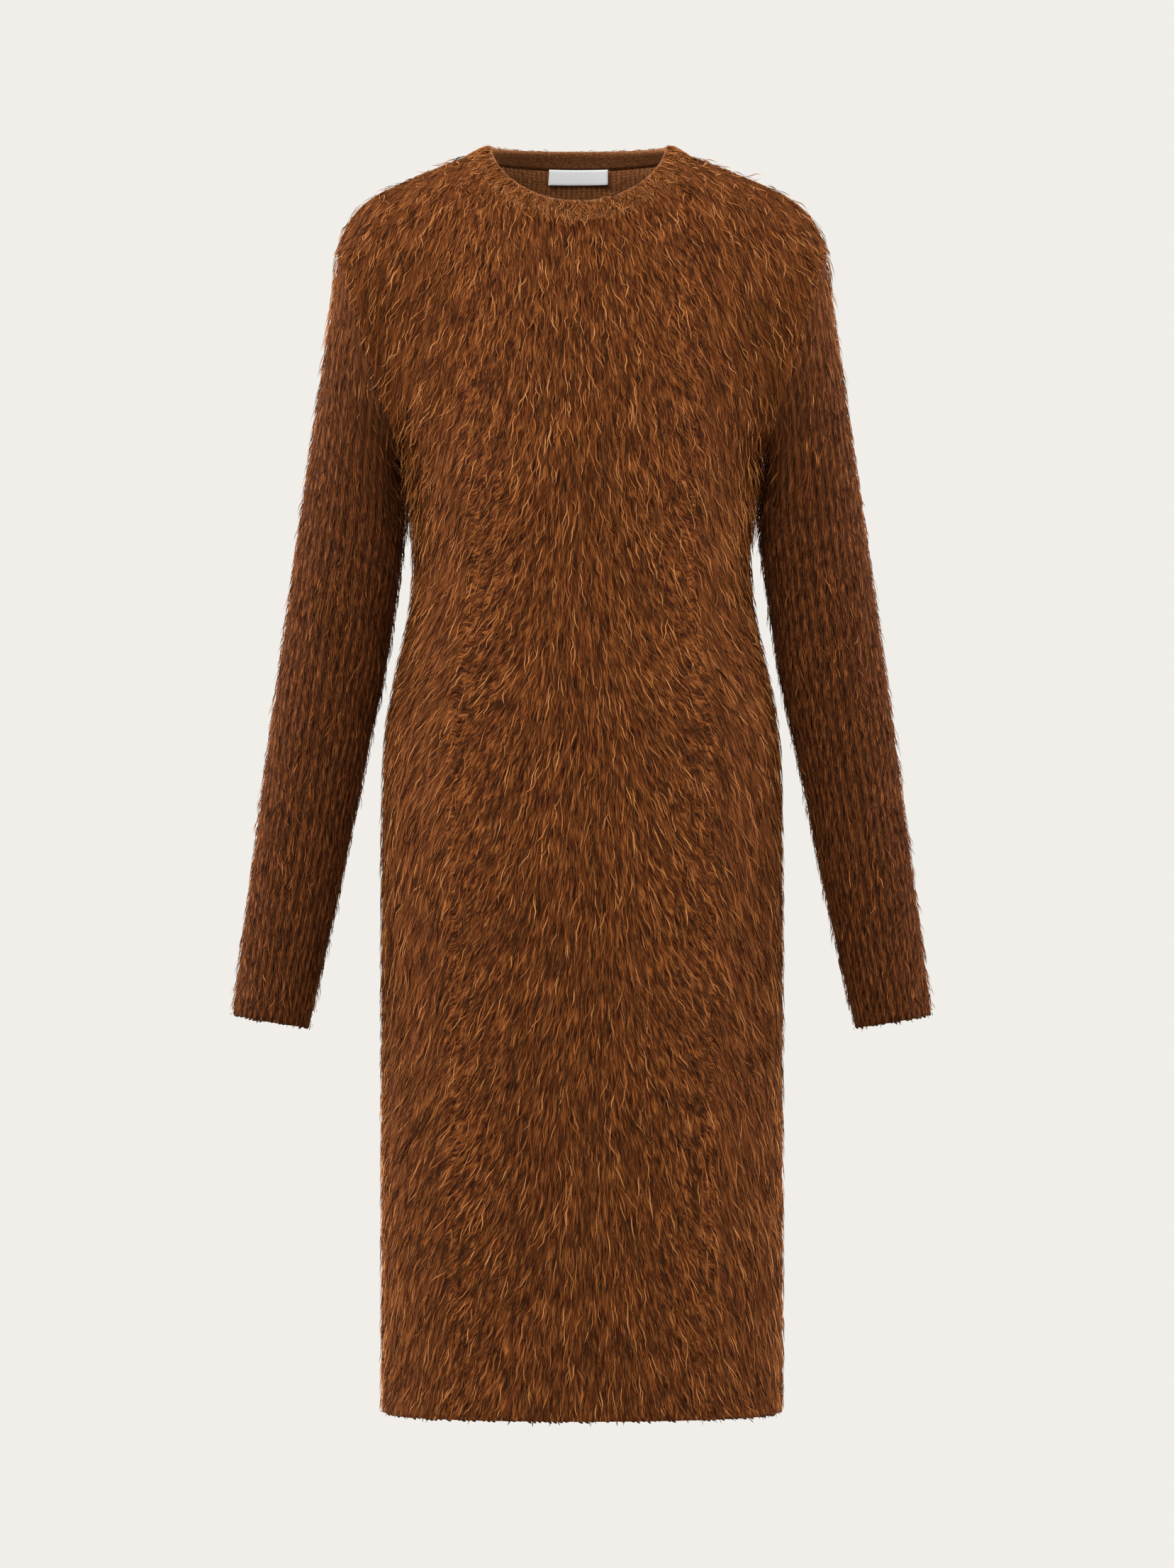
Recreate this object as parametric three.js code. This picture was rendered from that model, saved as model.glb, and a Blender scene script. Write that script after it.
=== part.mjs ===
// A knee-length sweater dress in a brushed, long-haired knit, with long sleeves and a crew neck.
// It keeps the hollow form of a worn garment: neck, cuffs and hem are open, and each piece is a wall of cloth.
// Millimetres. +X is the wearer's left, -Y is the front and +Z is up. The origin lies midway between the shoulders,
// at the height where they carry the dress.
import * as THREE from "three";

// A wall's outer face lies where the hair of the knit ends, and its inner face is the inside of the knit.
const BODY_WALL = 6;
const SLEEVE_WALL = 4.5;
const BAND_WALL = 4;
const LABEL_WALL = 1.2;
const SEAM_GAP = 0.3;

// Body: level rings from the underarm to the hem. Each is two half ovals that meet at the side seams.
const OVAL_POWER = 2.3;
const BODY_RINGS = [
  { z: -240, halfWidth: 153, front: 112, back: 98 },
  { z: -262, halfWidth: 150, front: 113, back: 96.5 },
  { z: -288, halfWidth: 145.5, front: 111, back: 93.5 },
  { z: -318, halfWidth: 142.5, front: 106, back: 90.5 },
  { z: -352, halfWidth: 144, front: 101.5, back: 90.5 },
  { z: -388, halfWidth: 150, front: 100.5, back: 95 },
  { z: -428, halfWidth: 159, front: 103, back: 103 },
  { z: -474, halfWidth: 166.5, front: 106, back: 111 },
  { z: -540, halfWidth: 169, front: 107, back: 115 },
  { z: -640, halfWidth: 169.5, front: 105, back: 112 },
  { z: -760, halfWidth: 169.5, front: 101, back: 104 },
  { z: -900, halfWidth: 169.5, front: 96, back: 97 },
  { z: -1045, halfWidth: 169.5, front: 92, back: 92 },
];

// Shoulder seam, from the neck point to the tip of the shoulder, where the sleeve begins.
const SHOULDER_LINE = [
  { x: 90, z: 19.5 },
  { x: 110, z: 12.5 },
  { x: 132, z: 3.5 },
  { x: 155, z: -6 },
  { x: 174, z: -15.5 },
  { x: 186, z: -24 },
  { x: 195, z: -34 },
  { x: 202, z: -47 },
  { x: 207, z: -62 },
];

// Neck: the seam where the band is sewn on, and the fold along the band's top. Both are ovals that dip at the front.
const NECK_SHIFT = -3;
const NECK_SEAM = { halfWidth: 90, front: 79, back: 72, sideZ: 19.5, frontZ: -43.5, backZ: 13, dipPower: 1.3 };
const BAND_TOP = { halfWidth: 73, front: 66, back: 58, sideZ: 24.5, frontZ: -26, backZ: 27, dipPower: 1.2 };
const BAND_FOLD = 2;
const BAND_BULGE = 0.8;

// How a panel curves from the chest or back up to its top edge. A lower squareness holds it straighter for longer.
const PANEL_CURVE = {
  front: { power: 1.8, neckSquareness: 0.8, shoulderSquareness: 0.5 },
  back: { power: 2.3, neckSquareness: 0.6, shoulderSquareness: 0.5 },
};
const ARMHOLE_PULL = 4;

// Sleeve: sections from the armhole to the cuff, each an oval between its outer and inner edge.
const SLEEVE_RINGS = [
  { outerX: 207, outerZ: -62, innerX: 153, innerZ: -240, halfDepth: 57, centreY: 0 },
  { outerX: 211, outerZ: -90, innerX: 153.6, innerZ: -243.5, halfDepth: 59.5, centreY: 3 },
  { outerX: 215.5, outerZ: -122, innerX: 153.2, innerZ: -248, halfDepth: 60, centreY: 6 },
  { outerX: 221, outerZ: -160, innerX: 151.8, innerZ: -255, halfDepth: 59.5, centreY: 8 },
  { outerX: 227.5, outerZ: -202, innerX: 150.4, innerZ: -266, halfDepth: 57.5, centreY: 10 },
  { outerX: 234, outerZ: -246, innerX: 148.8, innerZ: -283, halfDepth: 55, centreY: 11 },
  { outerX: 241, outerZ: -292, innerX: 149.4, innerZ: -308, halfDepth: 52, centreY: 12 },
  { outerX: 248.5, outerZ: -346, innerX: 155, innerZ: -357, halfDepth: 49, centreY: 12 },
  { outerX: 256.5, outerZ: -400, innerX: 163.5, innerZ: -413, halfDepth: 46.5, centreY: 11 },
  { outerX: 264.5, outerZ: -458, innerX: 176, innerZ: -473, halfDepth: 43.5, centreY: 9 },
  { outerX: 273, outerZ: -522, innerX: 189.5, innerZ: -538, halfDepth: 41, centreY: 7 },
  { outerX: 281.5, outerZ: -588, innerX: 203, innerZ: -603, halfDepth: 38, centreY: 5 },
  { outerX: 290, outerZ: -650, innerX: 216.5, innerZ: -664, halfDepth: 35.5, centreY: 3 },
  { outerX: 297.5, outerZ: -708, innerX: 229, innerZ: -720, halfDepth: 34, centreY: 1 },
];
const SLEEVE_RIBS = 36;
const RIB_HEIGHT = 0.9;
const RIBS_START_AT_RING = 3;

// Columns of points across a panel, and rows of points down its armhole edge. Neck and sleeve share them at the seams.
const SHOULDER_COLUMNS = 8;
const NECK_COLUMNS = 18;
const NECK_SHARE = 0.45;
const ARMHOLE_ROWS = SLEEVE_RIBS / 2;
const EVENED_ROWS = ARMHOLE_ROWS + 3;
const EVENING_ROUNDS = 14;

// Soft creases: where each lies, its tilt from level, its reach along and across itself, and how deep it presses in.
const FRONT_FOLDS = [
  { x: -116, z: -222, tilt: 55, along: 70, across: 22, depth: 3 },
  { x: 120, z: -214, tilt: -50, along: 62, across: 24, depth: 2.6 },
  { x: -92, z: -338, tilt: 8, along: 52, across: 26, depth: 2 },
  { x: 98, z: -362, tilt: -12, along: 44, across: 24, depth: 1.7 },
  { x: -74, z: -905, tilt: 86, along: 190, across: 38, depth: 2.4 },
  { x: 66, z: -860, tilt: 93, along: 230, across: 42, depth: 2 },
];
const BACK_FOLDS = [
  { x: -112, z: -226, tilt: 48, along: 66, across: 24, depth: 2.8 },
  { x: 108, z: -232, tilt: -54, along: 74, across: 22, depth: 3 },
  { x: 10, z: -330, tilt: 3, along: 70, across: 30, depth: 3.2 },
  { x: -30, z: -372, tilt: -6, along: 56, across: 24, depth: 2 },
  { x: 82, z: -880, tilt: 88, along: 210, across: 40, depth: 2.6 },
  { x: -58, z: -930, tilt: 94, along: 170, across: 36, depth: 2.2 },
];
// On a sleeve, angle goes round from the outer edge towards the back, and down is the distance from the armhole.
const LEFT_SLEEVE_FOLDS = [
  { angle: 250, down: 250, tilt: 12, along: 44, across: 22, depth: 2.6 },
  { angle: 225, down: 310, tilt: -8, along: 38, across: 20, depth: 2.2 },
  { angle: 120, down: 285, tilt: 10, along: 46, across: 24, depth: 2.6 },
  { angle: 200, down: 150, tilt: 20, along: 40, across: 26, depth: 2.4 },
  { angle: 290, down: 470, tilt: -14, along: 40, across: 22, depth: 1.6 },
];
const RIGHT_SLEEVE_FOLDS = [
  { angle: 240, down: 236, tilt: 12, along: 46, across: 20, depth: 2.8 },
  { angle: 262, down: 318, tilt: -12, along: 40, across: 24, depth: 2.2 },
  { angle: 128, down: 270, tilt: 12, along: 44, across: 22, depth: 2.8 },
  { angle: 60, down: 400, tilt: -8, along: 40, across: 26, depth: 2 },
  { angle: 206, down: 170, tilt: 18, along: 38, across: 24, depth: 2.2 },
];

// Label: a blank tape sewn to the band's seam inside the back neck.
const LABEL = { width: 48, height: 13.5, columns: 8, above: 0.8, lean: 12, clearance: 1.5 };

const COLOURS = { knit: 0x6a3a1c, sleeveKnit: 0x55301a, band: 0x74431f, label: 0xeff0f1 };

const vector = (x, y, z) => new THREE.Vector3(x, y, z);
const mix = (a, b, share) => a.clone().lerp(b, share);
const radians = THREE.MathUtils.degToRad;

// Squares off a sine or cosine so that a circle becomes an oval with fuller corners.
function squared(value) {
  return Math.sign(value) * Math.abs(value) ** (2 / OVAL_POWER);
}

function ovalAt({ halfWidth, front, back, sideZ, frontZ, backZ, dipPower }, angle) {
  const forward = Math.sin(angle) < 0;
  const swing = Math.abs(Math.sin(angle));
  const dip = swing ** dipPower;
  return vector(
    NECK_SHIFT + halfWidth * Math.cos(angle),
    forward ? -front * swing : back * swing,
    sideZ + ((forward ? frontZ : backZ) - sideZ) * dip,
  );
}

// The way that a seam's cut edge faces, shared by the two walls that meet there.
function neckSeamFacing(angle) {
  const swing = Math.abs(Math.sin(angle));
  return vector(0.32 * Math.cos(angle), 0.8 * Math.sin(angle), 0.95 - 0.47 * swing).normalize();
}

function sleeveSection(ring, angle) {
  const outer = vector(ring.outerX, ring.centreY, ring.outerZ);
  const inner = vector(ring.innerX, ring.centreY, ring.innerZ);
  const centre = mix(outer, inner, 0.5);
  const reach = outer.sub(centre).multiplyScalar(squared(Math.cos(angle)));
  return centre.add(reach).add(vector(0, ring.halfDepth * squared(Math.sin(angle)), 0));
}

function armholeFacing(angle) {
  const { outerX, outerZ, innerX, innerZ, halfDepth } = SLEEVE_RINGS[0];
  const up = vector(outerX - innerX, 0, outerZ - innerZ);
  const halfHeight = up.length() / 2;
  up.normalize();
  const away = vector(up.z, 0, -up.x);
  const round = up.multiplyScalar(Math.cos(angle) / halfHeight);
  round.y = Math.sin(angle) / halfDepth;
  return round.normalize().addScaledVector(away, 0.35 * (1 + Math.cos(angle))).normalize();
}

function creaseDepth(folds, a, b) {
  let depth = 0;
  for (const fold of folds) {
    const tilt = radians(fold.tilt);
    const [right, up] = [a - fold.a, b - fold.b];
    const along = (right * Math.cos(tilt) + up * Math.sin(tilt)) / fold.along;
    const across = (up * Math.cos(tilt) - right * Math.sin(tilt)) / fold.across;
    depth += fold.depth * Math.exp(-along * along - across * across);
  }
  return depth;
}

// Normals of a grid of points, by row and column, where rows run down and the outside is on the left of a column step.
function normalsOf(grid, closed) {
  const columns = grid[0].length;
  const column = (c) => (closed ? (c + columns) % columns : Math.min(Math.max(c, 0), columns - 1));
  return grid.map((row, r) =>
    row.map((_, c) => {
      const above = grid[Math.max(r - 1, 0)][c];
      const below = grid[Math.min(r + 1, grid.length - 1)][c];
      const across = row[column(c + 1)].clone().sub(row[column(c - 1)]);
      return below.clone().sub(above).cross(across).normalize();
    }),
  );
}

const shifted = (grid, facings, distance) =>
  grid.map((row, r) => row.map((point, c) => point.clone().addScaledVector(facings[r][c], distance)));

// A closed wall between an outer and an inner grid. The inner one may have half as many columns.
function wall(outer, inner, { closed = false, mirrored = false } = {}) {
  const positions = [];
  const faces = [];
  const number = (grid) => grid.map((row) => row.map((point) => positions.push(...point.toArray()) / 3 - 1));
  const face = (a, b, c) => faces.push(...(mirrored ? [a, c, b] : [a, b, c]));
  const ringed = (row) => (closed ? [...row, row[0]] : row);
  const sheet = (ids, outward) => {
    const rows = ids.map(ringed);
    for (let r = 0; r + 1 < rows.length; r++) {
      for (let c = 0; c + 1 < rows[r].length; c++) {
        const [a, b, d, e] = [rows[r][c], rows[r + 1][c], rows[r + 1][c + 1], rows[r][c + 1]];
        if (outward) {
          face(a, b, d);
          face(a, d, e);
        } else {
          face(a, d, b);
          face(a, e, d);
        }
      }
    }
  };
  // Joins an edge of the outer grid to the same edge of the inner one, which may have half as many points.
  const rim = (outerEdge, innerEdge, turn) => {
    const [many, few] = [ringed(outerEdge), ringed(innerEdge)];
    const step = (many.length - 1) / (few.length - 1);
    const put = (a, b, c) => (turn ? face(a, c, b) : face(a, b, c));
    for (let i = 0; i + 1 < few.length; i++) {
      const middle = Math.ceil(step / 2);
      for (let k = 0; k < step; k++) {
        put(many[i * step + k], many[i * step + k + 1], k < middle ? few[i] : few[i + 1]);
      }
      put(few[i], many[i * step + middle], few[i + 1]);
    }
  };
  const outerIds = number(outer);
  const innerIds = number(inner);
  sheet(outerIds, true);
  sheet(innerIds, false);
  rim(outerIds[0], innerIds[0], false);
  rim(outerIds.at(-1), innerIds.at(-1), true);
  if (!closed) {
    for (const [edge, turn] of [[0, true], [-1, false]]) {
      const side = (ids) => ids.map((row) => row.at(edge));
      sideRim(side(outerIds), side(innerIds), turn, face);
    }
  }
  const geometry = new THREE.BufferGeometry();
  geometry.setAttribute("position", new THREE.Float32BufferAttribute(positions, 3));
  geometry.setIndex(faces);
  return geometry;
}

function sideRim(outerEdge, innerEdge, turn, face) {
  for (let i = 0; i + 1 < outerEdge.length; i++) {
    const [a, b, c, d] = [outerEdge[i], outerEdge[i + 1], innerEdge[i + 1], innerEdge[i]];
    if (turn) {
      face(a, d, c);
      face(a, c, b);
    } else {
      face(a, b, c);
      face(a, c, d);
    }
  }
}

// Places across a panel, from -1 at the wearer's right to 1 at the left. The neck takes the middle share of the top.
function panelColumns() {
  const columns = [];
  for (let i = -SHOULDER_COLUMNS; i <= SHOULDER_COLUMNS + NECK_COLUMNS; i++) {
    const inNeck = THREE.MathUtils.clamp(i / NECK_COLUMNS, 0, 1);
    const past = (i < 0 ? i : Math.max(i - NECK_COLUMNS, 0)) / SHOULDER_COLUMNS;
    columns.push(NECK_SHARE * (2 * inNeck - 1) + (1 - NECK_SHARE) * past);
  }
  return columns;
}

const shoulderCurve = new THREE.SplineCurve(SHOULDER_LINE.map(({ x, z }) => new THREE.Vector2(x, z)));
const neckAngle = (across, side) => (side * Math.PI * (1 - across / NECK_SHARE)) / 2;
const overNeck = (across) => Math.abs(across) <= NECK_SHARE + 1e-9;

function topEdge(across, side) {
  if (overNeck(across)) return ovalAt(NECK_SEAM, neckAngle(across, side));
  const share = (Math.abs(across) - NECK_SHARE) / (1 - NECK_SHARE);
  const { x, y: z } = shoulderCurve.getPointAt(share);
  return vector(Math.sign(across) * x + NECK_SHIFT * (1 - share), 0, z);
}

function bodyRing(ring, across, side) {
  const angle = (across * Math.PI) / 2;
  const depth = side < 0 ? ring.front : ring.back;
  return vector(ring.halfWidth * squared(Math.sin(angle)), side * depth * squared(Math.cos(angle)), ring.z);
}

// A point above the underarm. down is 1 at the underarm ring and 0 at the top edge.
function bodicePoint(across, down, side) {
  const curve = side < 0 ? PANEL_CURVE.front : PANEL_CURVE.back;
  const rise = (1 + squared(Math.cos(Math.PI * down))) / 2;
  const towardsShoulder = THREE.MathUtils.smoothstep(Math.abs(across), 0, NECK_SHARE);
  const squareness = THREE.MathUtils.lerp(curve.neckSquareness, curve.shoulderSquareness, towardsShoulder);
  const start = bodyRing(BODY_RINGS[0], across, side);
  const point = mix(start, topEdge(across, side), rise);
  const depthKept = Math.max(1 - rise ** curve.power, 0) ** squareness;
  point.y = topEdge(across, side).y * (1 - depthKept) + start.y * depthKept;
  const edge = side * SLEEVE_RINGS[0].halfDepth * squared(Math.sin(Math.PI * down));
  point.y += edge * Math.abs(across) ** ARMHOLE_PULL;
  return point;
}

// Rounds off the yoke: points inside the edges move towards the middle of their neighbours.
function evened(grid) {
  let rows = grid;
  for (let round = 0; round < EVENING_ROUNDS; round++) {
    rows = rows.map((row, r) => {
      if (r === 0 || r >= EVENED_ROWS) return row;
      return row.map((point, c) => {
        if (c === 0 || c === row.length - 1) return point;
        const middle = mix(mix(row[c - 1], row[c + 1], 0.5), mix(rows[r - 1][c], rows[r + 1][c], 0.5), 0.5);
        return mix(point, middle, 0.5);
      });
    });
  }
  return rows;
}

function panel(side, folds) {
  const columns = panelColumns();
  const yoke = Array.from({ length: ARMHOLE_ROWS }, (_, r) => r / ARMHOLE_ROWS);
  const outer = evened([
    ...yoke.map((down) => columns.map((across) => bodicePoint(across, down, side))),
    ...BODY_RINGS.map((ring) => columns.map((across) => bodyRing(ring, across, side))),
  ]);
  const last = columns.length - 1;
  const outwards = (facings) => facings.map((row) => row.map((facing) => facing.multiplyScalar(-side)));
  let facings = outwards(normalsOf(outer, false));
  const placed = folds.map((fold) => ({ ...fold, a: fold.x, b: fold.z }));
  outer.forEach((row, r) => {
    row.forEach((point, c) => {
      const fade = Math.min(r / 2, 1) * Math.min(c / 3, 1) * Math.min((last - c) / 3, 1);
      point.addScaledVector(facings[r][c], -fade * creaseDepth(placed, point.x, point.z));
    });
  });
  facings = outwards(normalsOf(outer, false));
  facings.forEach((row, r) => {
    row.forEach((facing, c) => {
      const across = columns[c];
      const atEdge = c === 0 || c === last;
      if (r === 0 && overNeck(across)) {
        facing.copy(neckSeamFacing(neckAngle(across, side)));
      } else if (atEdge && r <= ARMHOLE_ROWS) {
        facing.copy(armholeFacing((side * Math.PI * r) / ARMHOLE_ROWS));
        facing.x *= Math.sign(across);
        if (r === 0 || r === ARMHOLE_ROWS) facing.y = 0;
        facing.normalize();
      } else if (atEdge || r === 0) {
        facing.y = 0;
        facing.normalize();
      }
      outer[r][c].y += (side * SEAM_GAP) / 2;
    });
  });
  return wall(outer, shifted(outer, facings, -BODY_WALL), { mirrored: side > 0 });
}

function sleeve(side, folds) {
  const columns = 2 * SLEEVE_RIBS;
  const angles = Array.from({ length: columns }, (_, c) => (2 * Math.PI * c) / columns);
  const plain = SLEEVE_RINGS.map((ring) => angles.map((angle) => sleeveSection(ring, angle)));
  // The armhole edge has the panels' own points, and every other point lies halfway between two of them.
  const armhole = plain[0];
  for (let c = 1; c < columns; c += 2) {
    armhole[c] = mix(armhole[c - 1], armhole[(c + 1) % columns], 0.5);
  }
  armhole.forEach((point) => (point.x += 1.4 * SEAM_GAP));
  const middle = (row) => mix(row[0], row[columns / 2], 0.5);
  let down = 0;
  const downs = plain.map((row, r) => (down += r ? middle(row).distanceTo(middle(plain[r - 1])) : 0));
  let facings = normalsOf(plain, true);
  plain.forEach((row, r) => {
    const around = (SLEEVE_RINGS[r].halfDepth + row[0].distanceTo(middle(row))) / 2;
    const placed = folds.map((fold) => ({ ...fold, a: radians(fold.angle) * around, b: -fold.down }));
    const fade = Math.min(r / 2, 1) * Math.min((plain.length - 1 - r) / 2, 1);
    row.forEach((point, c) => {
      point.addScaledVector(facings[r][c], -fade * creaseDepth(placed, angles[c] * around, -downs[r]));
    });
  });
  facings = normalsOf(plain, true);
  facings[0] = angles.map((_, c) => armholeFacing(angles[c]));
  const ribbed = plain.map((row, r) => {
    const height = RIB_HEIGHT * THREE.MathUtils.smoothstep(r, RIBS_START_AT_RING - 2, RIBS_START_AT_RING);
    return row.map((point, c) => point.clone().addScaledVector(facings[r][c], c % 2 ? -height : 0));
  });
  const inner = shifted(plain, facings, -SLEEVE_WALL).map((row) => row.filter((_, c) => c % 2 === 0));
  const mirror = (grid) => grid.forEach((row) => row.forEach((point) => (point.x *= side)));
  mirror(ribbed);
  mirror(inner);
  return wall(ribbed, inner, { closed: true, mirrored: side < 0 });
}

// Half a band's profile is its outside from seam to fold, and the other half its inside back down to the seam.
function bandSection(angle) {
  const seam = ovalAt(NECK_SEAM, angle);
  const top = ovalAt(BAND_TOP, angle);
  const step = 1e-3;
  const tangent = ovalAt(NECK_SEAM, angle + step).sub(ovalAt(NECK_SEAM, angle - step));
  const up = top.clone().sub(seam).normalize();
  const out = tangent.cross(up).normalize();
  const bottom = seam.clone().addScaledVector(up, SEAM_GAP);
  const innerBottom = bottom.clone().addScaledVector(neckSeamFacing(angle), -BAND_WALL);
  const outerTop = top.clone().addScaledVector(out, BAND_WALL / 2).addScaledVector(up, -BAND_FOLD);
  const innerTop = outerTop.clone().addScaledVector(out, -BAND_WALL);
  const outerMiddle = mix(bottom, outerTop, 0.5).addScaledVector(out, BAND_BULGE);
  const innerMiddle = mix(innerBottom, innerTop, 0.5).addScaledVector(out, BAND_BULGE / 2);
  return { bottom, outerMiddle, outerTop, top, innerTop, innerMiddle, innerBottom, out, up };
}

function neckband() {
  const count = 2 * NECK_COLUMNS;
  const sections = Array.from({ length: count }, (_, c) => bandSection((2 * Math.PI * c) / count));
  const row = (...names) => names.map((name) => sections.map((section) => section[name].clone()));
  return wall(
    row("top", "outerTop", "outerMiddle", "bottom"),
    row("innerTop", "innerTop", "innerMiddle", "innerBottom").slice(1),
    { closed: true },
  );
}

function label() {
  const lean = radians(LABEL.lean);
  const fall = vector(0, Math.sin(lean), -Math.cos(lean));
  const away = vector(0, -Math.cos(lean), -Math.sin(lean));
  const upper = Array.from({ length: LABEL.columns + 1 }, (_, c) => {
    const x = LABEL.width * (c / LABEL.columns - 0.5);
    const angle = Math.acos(x / (NECK_SEAM.halfWidth - BODY_WALL));
    const innerEdge = ovalAt(NECK_SEAM, angle).addScaledVector(neckSeamFacing(angle), -BODY_WALL);
    return innerEdge.addScaledVector(away, LABEL.clearance + LABEL_WALL).addScaledVector(fall, -LABEL.above);
  });
  const front = [upper, upper.map((point) => point.clone().addScaledVector(fall, LABEL.height))];
  return wall(front, shifted(front, front.map((row) => row.map(() => away)), -LABEL_WALL));
}

function piece(name, geometry, colour) {
  const material = new THREE.MeshStandardMaterial({ color: colour, roughness: 0.95, metalness: 0 });
  const mesh = new THREE.Mesh(geometry, material);
  mesh.name = name;
  return mesh;
}

const dress = new THREE.Group();
dress.add(
  piece("front", panel(-1, FRONT_FOLDS), COLOURS.knit),
  piece("back", panel(1, BACK_FOLDS), COLOURS.knit),
  piece("sleeve_left", sleeve(1, LEFT_SLEEVE_FOLDS), COLOURS.sleeveKnit),
  piece("sleeve_right", sleeve(-1, RIGHT_SLEEVE_FOLDS), COLOURS.sleeveKnit),
  piece("neckband", neckband(), COLOURS.band),
  piece("neck_label", label(), COLOURS.label),
);

export default dress;
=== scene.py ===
"""A knee-length sweater dress in long-haired brushed knit, filled out as if worn, in a pale studio.

Sizes are in millimetres and become metres where a mesh is made.
+X is the wearer's left, -Y the front, +Z up.
"""

import math

import bmesh
import bpy
import numpy as np
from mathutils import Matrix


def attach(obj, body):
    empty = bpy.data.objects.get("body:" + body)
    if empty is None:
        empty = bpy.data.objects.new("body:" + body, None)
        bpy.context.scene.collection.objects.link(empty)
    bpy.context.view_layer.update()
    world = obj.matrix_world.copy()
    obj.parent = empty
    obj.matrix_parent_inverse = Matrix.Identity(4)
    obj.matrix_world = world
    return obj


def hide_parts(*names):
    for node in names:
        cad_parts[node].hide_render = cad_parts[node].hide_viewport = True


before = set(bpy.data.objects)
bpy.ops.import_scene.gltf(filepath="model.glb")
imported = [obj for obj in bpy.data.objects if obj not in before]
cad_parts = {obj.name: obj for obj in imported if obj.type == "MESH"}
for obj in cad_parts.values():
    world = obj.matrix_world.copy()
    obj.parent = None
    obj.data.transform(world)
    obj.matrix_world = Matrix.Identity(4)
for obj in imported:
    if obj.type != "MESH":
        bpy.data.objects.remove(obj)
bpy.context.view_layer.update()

MM = 0.001

# Camera and light
VIEW_HEIGHT = 1327.2  # what the picture takes in from top to bottom, in the plane of the side seams
CAMERA = (4.2, -5500, -513.6)
BACKDROP = (0.879, 0.855, 0.814)


def set_camera():
    lens = bpy.data.cameras.new("camera")
    lens.sensor_fit = "VERTICAL"
    lens.sensor_height = 36
    lens.lens = 36 * -CAMERA[1] / VIEW_HEIGHT
    lens.clip_end = 60
    camera = bpy.data.objects.new("camera", lens)
    camera.location = [c * MM for c in CAMERA]
    camera.rotation_euler = (math.pi / 2, 0, 0)
    bpy.context.scene.collection.objects.link(camera)
    bpy.context.scene.camera = camera


def set_softbox(name, place, size, power, aim=(0, 0, -0.5)):
    light = bpy.data.lights.new(name, "AREA")
    light.shape = "DISK"
    light.size = size
    light.energy = power
    lamp = bpy.data.objects.new(name, light)
    lamp.location = place
    towards = np.array(aim) - np.array(place)
    flat = math.hypot(towards[0], towards[1])
    lamp.rotation_euler = (
        math.atan2(flat, -towards[2]),
        0,
        math.atan2(towards[1], towards[0]) - math.pi / 2,
    )
    bpy.context.scene.collection.objects.link(lamp)


def set_studio():
    scene = bpy.context.scene
    scene.view_settings.view_transform = "Standard"
    world = bpy.data.worlds.new("pale_backdrop")
    world.use_nodes = True
    world.node_tree.nodes["Background"].inputs["Color"].default_value = (*BACKDROP, 1)
    scene.world = world
    set_softbox("key_light", (-1.3, -2.3, 1.9), 1.6, 62, aim=(0, 0, -0.2))
    set_softbox("fill_light", (2.0, -2.8, 1.1), 2.0, 12, aim=(0, 0, -0.3))
    set_softbox("right_side_light", (-2.5, 0.1, 0.1), 1.6, 82)
    set_softbox("left_side_light", (2.5, 0.1, 0.1), 1.6, 66)
    set_softbox("back_light", (0.4, 3.2, 1.4), 2.0, 30)


# Shader expressions
class Value:
    """A node's output that Python's own signs work on: each sign adds its Math node."""

    def __init__(self, finish, socket):
        self.finish, self.socket = finish, socket

    def worked(self, operation, *values):
        return self.finish.node("ShaderNodeMath", {"operation": operation}, dict(enumerate(values)))

    def __add__(self, other):
        return self.worked("ADD", self, other)

    def __mul__(self, other):
        return self.worked("MULTIPLY", self, other)

    def __sub__(self, other):
        return self.worked("SUBTRACT", self, other)

    def __rsub__(self, other):
        return self.worked("SUBTRACT", other, self)

    def __truediv__(self, other):
        return self.worked("DIVIDE", self, other)

    __radd__, __rmul__ = __add__, __mul__

    def power(self, exponent):
        return self.worked("POWER", self, exponent)

    def cosine(self):
        return self.worked("COSINE", self)

    def sine(self):
        return self.worked("SINE", self)

    def limited(self):
        return self.finish.node("ShaderNodeClamp", {}, {"Value": self})


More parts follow.
